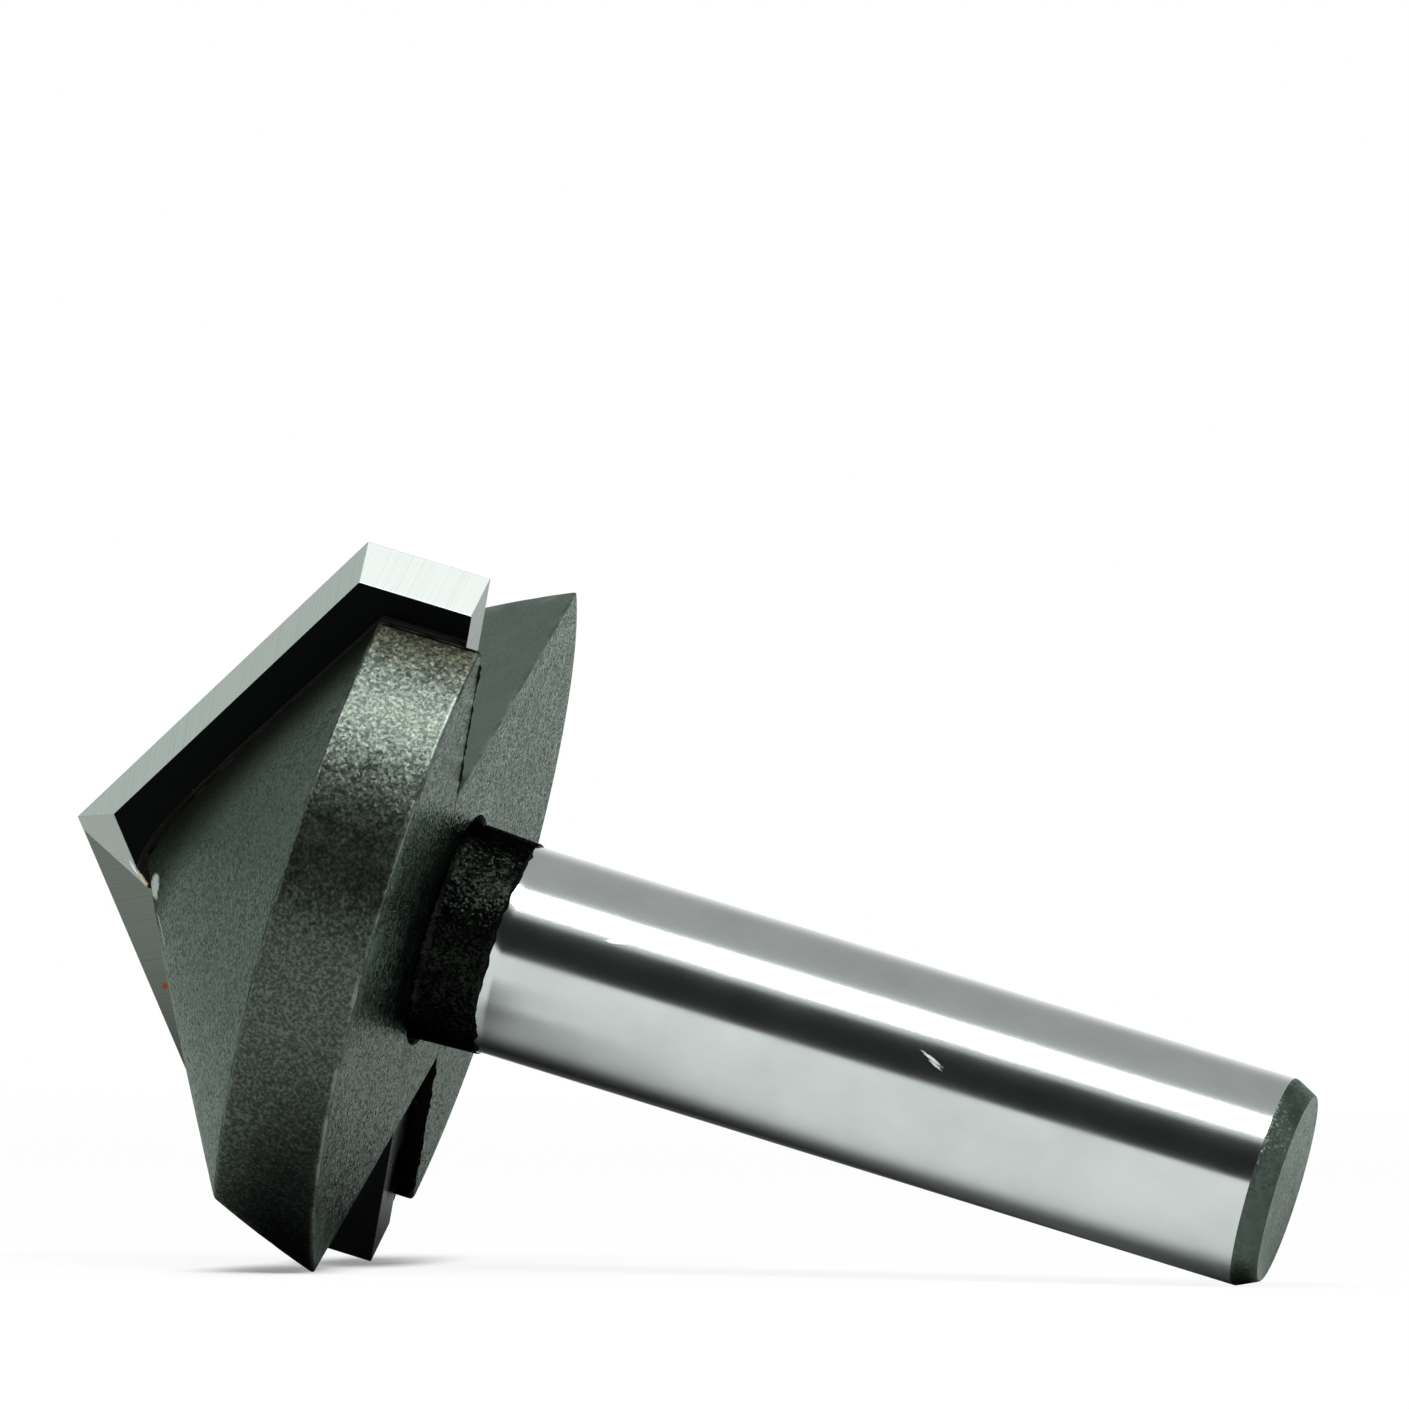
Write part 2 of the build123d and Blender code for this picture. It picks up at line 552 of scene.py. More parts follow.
@dataclass(frozen=True)
class BlastedSteel(Finish):
    """Tool steel with the skin of the blasted bar left on, oxidised as the rest: dark olive-grey,
    with a coarse sparkle where single grit marks face the light, and a stain beside the plates."""

    name: str = "blasted_tool_steel"
    roughness: float = 0.32
    shade: str = "353C36"
    light_shade: str = "5C645D"
    stain: str = "6A6040"
    stain_share: float = 0.8
    stain_fade: tuple[float, float] = (2.4, 5.0)
    wear_and_highlight_shade: str = "8E9A93"
    gleam: str = "C8D4CA"
    grit_size: float = 0.13
    grit_tilt: float = 0.06
    patch_size: float = 1.1
    patch_depth: float = 0.01

    def surface(self, add: Adder, place: Node) -> dict:
        """Lay specks, stain and worn edges with painted edge highlights on a skin of tilted grit marks.

        Args:
            add: Adds a node to the material.
            place: The node that gives the place in the cutter's own millimetres.

        Returns:
            What goes into the shader's inputs.
        """
        parts = add("SeparateXYZ", {0: place})
        grit = add("TexNoise", {
            "Vector": place, "Scale": 1 / self.grit_size, "Detail": 2.5, "Roughness": 0.65,
        })
        patches = add("TexNoise", {
            "Vector": place, "Scale": 1 / self.patch_size, "Detail": 4.0, "Roughness": 0.65,
        })
        speck = add("MapRange", {"Value": grit, "From Min": 0.42, "From Max": 0.68})
        near = self.beside_plates(add, parts.outputs[1], self.stain_fade, self.stain_share)
        patchy = add("Math", {0: near, 1: speck}, operation="MULTIPLY")
        bump = add("Bump", {"Height": patches, "Distance": self.patch_depth * MM, "Strength": 1.0})
        return {
            "Base Color": layered(
                add, self.shade, (speck, self.light_shade), (patchy, self.stain),
                (self.wear_and_highlight_mask(add, patches), self.wear_and_highlight_shade),
            ),
            "Roughness": self.gloss(add, patches),
            "Specular Tint": linear(self.gleam),
            "Normal": self.grained(add, place, self.grit_size, self.grit_tilt, bump),
        }


@dataclass(frozen=True)
class GroundSteel(Finish):
    """Hardened steel, ground between centres: bright, with hair-fine rings round the shank that
    draw each reflection out a little along it. The real rings are too fine to show, so they
    are drawn a few times coarser. The neck's black oxide ends on it in a ragged edge."""

    name: str = "ground_shank_steel"
    roughness: float = 0.15
    shade: str = "CAD1CE"
    dull_shade: str = "BDC4C1"
    crust: str = "0C0E0D"
    nick_shade: str = "D2D8D5"
    dull_roughness: float = 0.55
    ring_pitch: float = 0.05
    ring_depth: float = 0.0006
    cloud_size: float = 2.5
    crust_height: float = 17.2
    crust_reach: float = 0.22
    fringe_size: float = 1 / 1.1
    fringe_range: tuple[float, float] = (0.4, 0.75)

    def surface(self, add: Adder, place: Node) -> dict:
        """Lay clouds and nicks on the bright steel, and the oxide wherever the height is below a
        wandering level.

        Args:
            add: Adds a node to the material.
            place: The node that gives the place in the cutter's own millimetres.

        Returns:
            What goes into the shader's inputs.
        """
        height = add("SeparateXYZ", {0: place}).outputs[2]
        rings = add("TexNoise", {
            "W": height, "Scale": 1 / self.ring_pitch, "Detail": 4.0, "Roughness": 0.75,
        }, noise_dimensions="1D")
        clouds = add("TexNoise", {
            "Vector": place, "Scale": 1 / self.cloud_size, "Detail": 5.0, "Roughness": 0.6,
        })
        cloudy = add("MapRange", {"Value": clouds, "From Min": 0.35, "From Max": 0.8})
        nick = self.marked(add, place)
        fringe = add("TexNoise", {
            "Vector": place, "Scale": 1 / self.fringe_size, "Detail": 1.5, "Roughness": 0.5,
        })
        level = add("MapRange", {
            "Value": fringe, "From Min": self.fringe_range[0], "From Max": self.fringe_range[1],
            "To Min": self.crust_height, "To Max": self.crust_height + self.crust_reach,
        })
        below = add("Math", {0: height, 1: level}, operation="LESS_THAN")
        gloss = add("MapRange", {
            "Value": clouds, "From Min": 0.3, "From Max": 0.75,
            "To Min": self.roughness - 0.015, "To Max": self.roughness + 0.025,
        })
        dull = add("Math", {0: nick, 1: below}, operation="MAXIMUM")
        return {
            "Base Color": layered(
                add, self.shade, (cloudy, self.dull_shade), (nick, self.nick_shade), (below, self.crust),
            ),
            "Roughness": add("Mix", {0: dull, 2: gloss, 3: self.dull_roughness}, data_type="FLOAT"),
            "Normal": add("Bump", {"Height": rings, "Distance": self.ring_depth * MM, "Strength": 1.0}),
        }


@dataclass(frozen=True)
class GroundCarbide(Finish):
    """Tungsten carbide, ground with a diamond wheel: light grey, with fine straight scratches
    that run square to the cutting edge."""

    name: str = "ground_carbide"
    roughness: float = 0.25
    shade: str = "A0AEA6"
    line_shade: str = "8A968F"
    mark_shade: str = "DDE4E0"
    line_pitch: float = 0.09
    line_depth: float = 0.002
    across: Triple = (sin(radians(60)), 0.0, cos(radians(60)))

    def surface(self, add: Adder, place: Node) -> dict:
        """Draw the scratches as one noise along the edge, the same for both plates because it
        takes the size of X and Y.

        Args:
            add: Adds a node to the material.
            place: The node that gives the place in the cutter's own millimetres.

        Returns:
            What goes into the shader's inputs.
        """
        folded = add("VectorMath", {0: place}, operation="ABSOLUTE")
        along = add("VectorMath", {0: folded, 1: self.across}, operation="DOT_PRODUCT")
        lines = add("TexNoise", {
            "W": along, "Scale": 1 / self.line_pitch, "Detail": 4.0, "Roughness": 0.7,
        }, noise_dimensions="1D")
        scratched = add("MapRange", {"Value": lines, "From Min": 0.52, "From Max": 0.72})
        return {
            "Base Color": layered(
                add, self.shade, (scratched, self.line_shade), (self.marked(add, place), self.mark_shade),
            ),
            "Roughness": self.gloss(add, lines, 0.04, 0.06),
            "Normal": add("Bump", {"Height": lines, "Distance": self.line_depth * MM, "Strength": 1.0}),
        }


@dataclass(frozen=True)
class SinteredCarbide(Finish):
    """Tungsten carbide with its sintered skin left on: dark, matt and faintly mottled, and painted
    nearly black as well, as painted shade where the back walls stand in the recess over the steel."""

    name: str = "sintered_carbide"
    roughness: float = 0.55
    shade: str = "0A0C0B"
    light_shade: str = "131615"
    gleam: str = "2A2E2C"
    grain_size: float = 0.12
    grain_depth: float = 0.01

    def surface(self, add: Adder, place: Node) -> dict:
        """Lay mottled black over a fine grain.

        Args:
            add: Adds a node to the material.
            place: The node that gives the place in the cutter's own millimetres.

        Returns:
            What goes into the shader's inputs.
        """
        grain = add("TexNoise", {
            "Vector": place, "Scale": 1 / self.grain_size, "Detail": 3.0, "Roughness": 0.7,
        })
        return {
            "Base Color": layered(add, self.shade, (grain, self.light_shade)),
            "Roughness": self.roughness,
            "Specular Tint": linear(self.gleam),
            "Normal": add("Bump", {"Height": grain, "Distance": self.grain_depth * MM, "Strength": 1.0}),
        }


@dataclass(frozen=True)
class SilverBraze(Finish):
    """Silver solder with flux burnt on it: pale yellow metal under a brown-black crust, and
    bright where the grinding wheel has cut through."""

    name: str = "silver_braze_metal"
    roughness: float = 0.4
    shade: str = "6E6444"
    crust: str = "0C0906"
    ground_shade: str = "D2CBB2"
    specular_level: float = 0.08
    patch_size: float = 0.45
    patch_depth: float = 0.06

    def surface(self, add: Adder, place: Node) -> dict:
        """Lay the crust in patches, rougher than the braze and no metal.

        Args:
            add: Adds a node to the material.
            place: The node that gives the place in the cutter's own millimetres.

        Returns:
            What goes into the shader's inputs.
        """
        patches = add("TexNoise", {
            "Vector": place, "Scale": 1 / self.patch_size, "Detail": 4.0, "Roughness": 0.65,
        })
        crusted = add("MapRange", {"Value": patches, "From Min": 0.24, "From Max": 0.34})
        ground = self.marked(add, place)
        bare = add("MapRange", {"Value": crusted, "To Min": 1.0, "To Max": 0.0})
        return {
            "Base Color": layered(add, self.shade, (crusted, self.crust), (ground, self.ground_shade)),
            "Roughness": add("MapRange", {
                "Value": crusted, "To Min": self.roughness, "To Max": self.roughness + 0.3,
            }),
            "Metallic": add("Math", {0: bare, 1: ground}, operation="MAXIMUM"),
            "Specular IOR Level": self.specular_level,
            "Normal": add("Bump", {"Height": patches, "Distance": self.patch_depth * MM, "Strength": 0.8}),
        }


@dataclass
class CutterBody:
    """The steel body as one grid of points: closed outlines that climb the head, cross its back
    face and carry on up the neck and the shank, with a second small grid for each horn beside
    the point. Sizes are in millimetres in the cutter's own axes."""

    axes: ToolAxes
    wall_angle: float = radians(38)
    wall_offset: float = 7.6
    cone_setback: float = 1.75
    cone_half_angle: float = radians(58.5)
    head_radius: float = 14.75
    head_back: float = 14.7
    seat_depth: float = 2.3
    seat_edge: float = 0.35
    rim_round: float = 0.2
    back_round: float = 0.12
    wall_round: float = 0.09
    neck_root_radius: float = 4.2
    neck_end_radius: float = 4.1
    neck_fillet: float = 0.3
    neck_length: float = 2.5
    shank_radius: float = 4.0
    shank_chamfer: tuple[float, float] = (0.8, 0.4)
    overall_length: float = 47.8
    nick_growth: float = 0.9
    horn_end: float = 3.5
    horn_tip: float = 3.42
    wall_wear_and_highlight: float = 0.7
    seat_wear_and_highlight: float = 0.35
    shoulder_wear_and_highlight: float = 0.35
    rim_wear_and_highlight: float = 0.6
    counts: tuple[int, int, int, int, int, int] = (12, 8, 48, 6, 18, 8)
    cone_rows: int = 80
    band_rows: int = 46
    horn_rows: int = 14
    first_angle: float = radians(20)

    @property
    def crossing(self) -> float:
        """Height where the two gullet walls meet on the axis."""
        return self.head_back - self.wall_offset / tan(self.wall_angle)

    @property
    def starts(self) -> np.ndarray:
        """Where each run of the outline starts, and where the last one ends."""
        return np.concatenate([[0], np.cumsum(self.counts)])

    @property
    def outline_zones(self) -> np.ndarray:
        """The zone after each point of the outline, on the cone."""
        runs = [Zone.SEAT, Zone.SEAT, Zone.CONE, Zone.CONE, Zone.GULLET, Zone.GULLET]
        return np.repeat(runs, self.counts)

    def wall_at(self, height: np.ndarray) -> np.ndarray:
        """Offset of a gullet wall from the axis at this height."""
        return self.wall_offset - (self.head_back - height) * tan(self.wall_angle)

    def outline(self, radius: np.ndarray, wall: np.ndarray, seat: np.ndarray, edge: np.ndarray,
                corner: np.ndarray) -> np.ndarray:
        """Work out half of the head's outline for many rows at once.

        The seat is a straight line at y = seat from x = wall out to a small arc that touches it
        and the turned circle from inside; the circle follows, then a second small arc that
        touches the circle and the line x = -wall, and that line down past y = seat to y = -seat.

        Args:
            radius: Radius of the turned circle, a value a row, as are the next four.
            wall: Offset of the gullet wall.
            seat: Level of the seat.
            edge: Radius of the arc between the seat and the circle.
            corner: Radius of the arc between the circle and the wall.

        Returns:
            Places by row, point and axis; the point where the other half starts is left out.
        """
        radius, wall, seat, edge, corner = (v[:, None] for v in (radius, wall, seat, edge, corner))
        edge_x = np.sqrt(np.maximum((radius - edge) ** 2 - (seat + edge) ** 2, 1e-9))
        edge_end = np.arctan2(seat + edge, edge_x)
        corner_y = np.sqrt(np.maximum((radius - corner) ** 2 - (wall - corner) ** 2, 1e-9))
        corner_start = np.arctan2(corner_y, corner - wall)
        # Even steps along each run from 0 towards 1, without the last
        on_seat, on_edge, on_circle, on_corner, on_wall, on_core = (
            (np.arange(count) / count)[None, :] for count in self.counts
        )
        edge_turn = -pi / 2 + (edge_end + pi / 2) * on_edge
        circle_turn = edge_end + (corner_start - edge_end) * on_circle
        corner_turn = corner_start + (pi - corner_start) * on_corner
        runs = (
            (wall + (edge_x - wall) * on_seat, seat),
            (edge_x + edge * np.cos(edge_turn), seat + edge + edge * np.sin(edge_turn)),
            (radius * np.cos(circle_turn), radius * np.sin(circle_turn)),
            (corner - wall + corner * np.cos(corner_turn), corner_y + corner * np.sin(corner_turn)),
            (-wall, corner_y + (seat - corner_y) * on_wall),
            (-wall, seat * (1 - 2 * on_core)),
        )
        return np.concatenate([np.stack(np.broadcast_arrays(*run), axis=-1) for run in runs], axis=1)

    def head_rows(self) -> tuple[np.ndarray, np.ndarray, np.ndarray]:
        """Work out the rows that climb the head from the walls' crossing to the back face.

        The turned profile is a straight cone, a small arc that touches cone and band, and the
        band; at the back a quarter circle draws every part of the outline in.

        Returns:
            Heights, turned radii and how far the outline is drawn in, a value a row.
        """
        slope = tan(self.cone_half_angle)
        shoulder = self.cone_setback + self.head_radius / slope
        reach = self.rim_round * tan(self.cone_half_angle / 2)
        cone = np.linspace(self.crossing, shoulder - reach * cos(self.cone_half_angle), self.cone_rows)
        over = np.linspace(-self.cone_half_angle, 0, 7)[1:]
        band = np.linspace(shoulder + reach, self.head_back - self.back_round, self.band_rows)[1:]
        inwards = np.linspace(0, pi / 2, 6)[1:]
        heights = np.concatenate([
            cone, shoulder + reach + self.rim_round * np.sin(over), band,
            self.head_back - self.back_round * (1 - np.sin(inwards)),
        ])
        radii = np.concatenate([
            (cone - self.cone_setback) * slope,
            self.head_radius - self.rim_round + self.rim_round * np.cos(over),
            np.full(len(band) + len(inwards), self.head_radius),
        ])
        drawn = np.zeros(len(heights))
        drawn[-len(inwards):] = self.back_round * (1 - np.cos(inwards))
        return heights, radii - drawn, drawn

    def nicked(self, heights: np.ndarray) -> np.ndarray:
        """Radius of the wall's edge by height: a small rounding that widens at nicks."""
        return self.wall_round * (1 + self.nick_growth * np.maximum(wander(len(heights), 4, 11), 0) ** 2)

    def profile(self) -> tuple[np.ndarray, np.ndarray, np.ndarray]:
        """Work out the turned profile from the neck's root to the middle of the shank's end.

        A quarter circle opens into the back face, then come the slightly conical neck, the step
        to the shank, the shank, its chamfer and the flat end, with each corner as a short arc.

        Returns:
            Heights, radii and zone numbers, a value a row.
        """
        turn = np.linspace(0, pi / 2, 6)
        neck_end = self.head_back + self.neck_length
        length, depth = self.shank_chamfer
        grip_end = self.overall_length - length
        parts = [
            (self.head_back + self.neck_fillet * (1 - np.cos(turn)),
             self.neck_root_radius + self.neck_fillet * (1 - np.sin(turn)), Zone.NECK),
            (np.linspace(self.head_back + 0.4, neck_end - 0.06, 10),
             np.linspace(self.neck_root_radius, self.neck_end_radius, 10), Zone.NECK),
            (neck_end - np.array([0.03, 0.01, 0.0]),
             self.neck_end_radius - np.array([0.005, 0.02, 0.05]), Zone.NECK),
            (neck_end + np.array([0.0, 0.03]), self.shank_radius + np.array([0.015, 0.0]), Zone.SHANK),
            (np.linspace(neck_end + 0.4, grip_end - 0.12, 30), np.full(30, self.shank_radius), Zone.SHANK),
            (grip_end + np.array([-0.05, -0.01, 0.03, 0.08]),
             self.shank_radius - np.array([0.001, 0.006, 0.022, 0.045]), Zone.CHAMFER),
            (self.overall_length - np.array([0.12, 0.06, 0.02, 0.0]),
             self.shank_radius - depth + np.array([0.06, 0.028, 0.002, -0.03]), Zone.CHAMFER),
            (np.full(6, self.overall_length), np.linspace(self.shank_radius - depth - 0.15, 0, 6), Zone.END),
        ]
        heights, radii, zones = zip(*parts)
        return (np.concatenate(heights), np.concatenate(radii),
                np.repeat(zones, [len(part) for part in heights]))

    def horn(self, first_row: np.ndarray) -> np.ndarray:
        """Work out the horn beside the point, which carries the outline on down from the crossing
        of the walls, closed where it meets the wall, and ends in a point.

        Args:
            first_row: The head's own first row in plan, which the horn starts from.

        Returns:
            Places by row, point and axis.
        """
        seat_end, core_start = self.starts[1], self.starts[5]
        down = np.linspace(self.crossing, self.horn_end, self.horn_rows)
        radius = (down - self.cone_setback) * tan(self.cone_half_angle)
        wall = self.wall_at(down)
        room = np.sqrt(np.maximum(radius ** 2 - self.seat_depth ** 2, 0)) + wall
        plan = self.outline(
            radius, wall, np.full(self.horn_rows, self.seat_depth),
            np.minimum(self.seat_edge, 0.3 * room), np.minimum(self.wall_round, 0.2 * room),
        )[:, :core_start + 1]
        seat_width = (plan[:, seat_end, 0] + wall)[:, None]
        plan[:, :seat_end, 0] = -wall[:, None] + seat_width * np.linspace(0, 1, seat_end + 1)[None, :-1]
        plan[0] = first_row[:core_start + 1]
        tip = np.broadcast_to(plan[-1].mean(axis=0), (1, *plan.shape[1:]))
        return raised(np.concatenate([plan, tip]), np.append(down, self.horn_tip))

    def wear_and_highlights(self, radii: np.ndarray, columns: int) -> np.ndarray:
        """Say how far the head's points are worn bright and painted with edge highlights: along
        the walls' edges, the seats' edges, the shoulder and the back rim.

        Args:
            radii: The head's turned radii, a value a row.
            columns: How many points a row has.

        Returns:
            Values from 0 to 1 by row and point.
        """
        wear_and_highlight = np.zeros((len(radii), columns))
        starts = self.starts
        for offset in (0, columns // 2):
            wear_and_highlight[:, offset + starts[3]:offset + starts[4] + 1] = self.wall_wear_and_highlight
            wear_and_highlight[:, offset + starts[1] + 2:offset + starts[2] - 1] = self.seat_wear_and_highlight
        shoulder = int(np.argmax(radii >= self.head_radius - 1e-6))
        wear_and_highlight[shoulder - 5:shoulder] = np.maximum(wear_and_highlight[shoulder - 5:shoulder], self.shoulder_wear_and_highlight)
        wear_and_highlight[-6:] = np.maximum(wear_and_highlight[-6:], self.rim_wear_and_highlight)
        return wear_and_highlight

    def build(self) -> Object:
        """Build the body's mesh from its grids.

        Returns:
            The body as a new object.
        """
        heights, radii, drawn = self.head_rows()
        half = self.outline(radii, self.wall_at(heights) - drawn, self.seat_depth + drawn,
                            np.full(len(heights), self.seat_edge), self.nicked(heights))
        around = np.concatenate([half, -half], axis=1)
        columns = around.shape[1]
        # The back face: each column goes straight from the outline to its place on the neck
        turned_heights, turned_radii, turned_zones = self.profile()
        angles = self.first_angle + 2 * pi * np.arange(columns) / columns
        circle = np.stack([np.cos(angles), np.sin(angles)], axis=-1)[None]
        share = np.linspace(0, 1, 7)[1:-1, None, None]
        back = around[-1:] * (1 - share) + circle * turned_radii[0] * share
        rows = np.concatenate([
            raised(around, heights), raised(back, np.full(len(back), self.head_back)),
            raised(circle * turned_radii[:, None, None], turned_heights),
        ])
        horn = self.horn(half[0])

        back_start = len(heights) - 1
        turned_start = len(heights) + len(back)
        zones = np.empty((len(rows) - 1, columns), int)
        zones[:back_start] = np.tile(self.outline_zones, 2)
        shoulder = self.cone_setback + self.head_radius / tan(self.cone_half_angle)
        band = zones[int(np.searchsorted(heights, shoulder)):back_start]
        band[band == Zone.CONE] = Zone.BAND
        zones[back_start:turned_start] = Zone.BACK
        zones[turned_start:] = turned_zones[1:, None]
        horn_zones = np.tile(self.outline_zones[:self.starts[5]], len(horn) - 1)

        points = np.concatenate([grid.reshape(-1, 3) for grid in (rows, horn, horn * HALF_TURN)])
        horn_size = horn.shape[0] * horn.shape[1]
        wear_and_highlight = np.zeros(len(points))
        wear_and_highlight[:around.size // 2] = self.wear_and_highlights(radii, columns).ravel()
        horn_quads = grid_quads(*horn.shape[:2], False) + rows.shape[0] * columns
        faces = np.concatenate([grid_quads(len(rows), columns, True), horn_quads, horn_quads + horn_size])
        face_zones = np.concatenate([zones.ravel(), horn_zones, horn_zones])
        return make_piece("body", self.axes.to_table(points), faces, face_zones, wear_and_highlight)

    def dress(self, piece: Object) -> None:
        """Give each zone its finish, hide the CAD body and hang the piece on the root body.

        Args:
            piece: The body.
        """
        oxidised = partial(OxidisedSteel, self.axes, painted_shade_share=0.0)
        finishes = {
            # Beside the point the turned steel was touched by the grinding wheel
            Zone.CONE: OxidisedSteel(self.axes, (
                Mark((1.0, 4.1, 4.4), (-0.33, 1.24, 0.7), 0.55, 0.42),
                Mark((0.4, 5.3, 5.03), (-0.25, 1.0, 0.55), 0.7, 0.045),
                Mark((0.95, 5.3, 5.08), (-0.3, 1.0, 0.55), 0.5, 0.03),
                Mark((0.15, 6.0, 5.44), (-0.25, 1.0, 0.55), 0.6, 0.035),
            )),
            Zone.BAND: BlastedSteel(self.axes),
            Zone.GULLET: oxidised(
                name="oxidised_milled_steel", shade="59635E", cloud="656E69", ring_depth=0.0,
                grain_tilt=0.05, roughness=0.4,
            ),
            # The seats are painted dark all over as painted shade of their recesses, with more painted shade
            # beside the plates
            Zone.SEAT: OxidisedSteel(self.axes, name="painted_shade_seat_steel", shade="1A1912", cloud="2A271B"),
            Zone.BACK: oxidised(name="oxidised_faced_steel", roughness=0.25),
            Zone.NECK: oxidised(
                name="blackened_neck_steel", shade="0C0E0D", cloud="20241F", gleam="3A403C",
                grain_size=0.09, grain_tilt=0.26,
            ),
            Zone.SHANK: GroundSteel(self.axes, (
                Mark((3.364, 2.155, 21.566), (0.1, -0.16, 1.0), 0.34, 0.07),
                Mark((2.918, 2.734, 34.204), (-0.28, 0.3, 1.0), 0.5, 0.06),
                Mark((2.79, 2.87, 34.4), (-0.28, 0.3, 1.0), 0.3, 0.05),
            )),
            Zone.CHAMFER: oxidised(
                name="oxidised_shank_chamfer", shade="3E4842", cloud="535D57", roughness=0.42,
            ),
            Zone.END: oxidised(marks=(
                Mark((2.306, 2.825, 47.702), (1.0, -0.8, 0.0), 0.2, 0.1),
                Mark((-0.251, -0.491, 47.8), (1.0, 0.4, 0.0), 0.14, 0.08),
            ), name="oxidised_shank_end", shade="A9B5AE", cloud="B8C3BC", roughness=0.42),
        }
        for zone in Zone:
            piece.data.materials.append(finishes[zone].material())
        normals = piece.modifiers.new("even_shading", "WEIGHTED_NORMAL")
        normals.keep_sharp = True
        normals.weight = 100
        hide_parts("cutter_body")
        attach(piece, "root")


@dataclass
class CarbidePlate:
    """A brazed-in carbide plate: the CAD plate with its edges honed, its ground faces bright and
    its sintered faces dark, painted near-black as painted shade. The second plate is the first one turned
    half round."""

    axes: ToolAxes
    number: int
    hone: float = 0.035

    def build(self) -> Object:
        """Build the plate from a merged copy of its CAD node.

        Returns:
            The plate as a new object, with a bevel on its edges.
        """
        piece = make_piece(f"plate_{self.number}", *node_arrays(f"carbide_tip_{self.number}"))
        shell = bmesh.new()
        shell.from_mesh(piece.data)
        bmesh.ops.dissolve_limit(
            shell, angle_limit=radians(0.5), use_dissolve_boundaries=False,
            verts=shell.verts, edges=shell.edges,
        )
        shell.to_mesh(piece.data)
        shell.free()
        normals = np.empty(len(piece.data.polygons) * 3, np.float32)
        piece.data.polygons.foreach_get("normal", normals)
        facing = self.axes.to_cutter(normals.reshape(-1, 3).astype(float))
        if self.number == 2:
            facing = facing * HALF_TURN
        faces = np.select(
            [facing[:, 1] < -0.9, facing[:, 0] > 0.9, (facing[:, 1] > 0.5) & (facing[:, 2] < -0.3),
             np.abs(facing[:, 2]) > 0.3],
            [Face.RAKE, Face.LAND, Face.FACET, Face.FLANK],
            Face.SINTERED,
        )
        piece.data.polygons.foreach_set("material_index", faces.astype(np.int32))
        honed = piece.modifiers.new("honed_edges", "BEVEL")
        honed.width = self.hone * MM
        honed.segments = 3
        honed.limit_method = "ANGLE"
        honed.angle_limit = radians(12)
        honed.harden_normals = True
        return piece

    def dress(self, piece: Object) -> None:
        """Give each face its finish, hide the CAD plate and hang the piece on the root body.

        Args:
            piece: The plate.
        """
        finishes = {
            # The sintered faces are dark and painted nearly black, partly as painted shade
            Face.SINTERED: SinteredCarbide(self.axes),
            # The second plate's rake face has one spot of rust
            Face.RAKE: GroundCarbide(
                self.axes, (Mark((-6.39, 0.0, 4.392), (1.0, 0.0, 0.3), 0.15, 0.11),),
                name="lapped_carbide_rake", shade="687069", line_shade="60655C", mark_shade="8A4B1C",
                roughness=0.14, line_depth=0.001,
            ),
            # The first plate's facet is chipped where it meets the steel
            Face.FACET: GroundCarbide(
                self.axes, (Mark((-0.05, 2.0, 2.93), (-0.36, 0.14, 0.42), 0.3, 0.1),),
                name="ground_carbide_facet", shade="8A968F", line_shade="7D8882",
            ),
            # Behind its end the second plate is painted black: painted shade of the pocket under the head
            # where that end lies
            Face.FLANK: GroundCarbide(
                self.axes, (Mark((-12.7, -1.45, 14.04), (1.0, 0.0, 0.0), 1.25, 0.85),),
                name="ground_carbide_flank", mark_shade="0D0E0D",
            ),
            # The land's pale shade is painted light, where the land faces up to the soft box
            Face.LAND: GroundCarbide(
                self.axes, name="ground_carbide_land", shade="C8CECB", line_shade="B4BAB7", roughness=0.45,
                across=(0.0, 0.0, 1.0),
            ),
        }
        for face in Face:
            piece.data.materials.append(finishes[face].material())
        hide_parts(f"carbide_tip_{self.number}")
        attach(piece, "root")


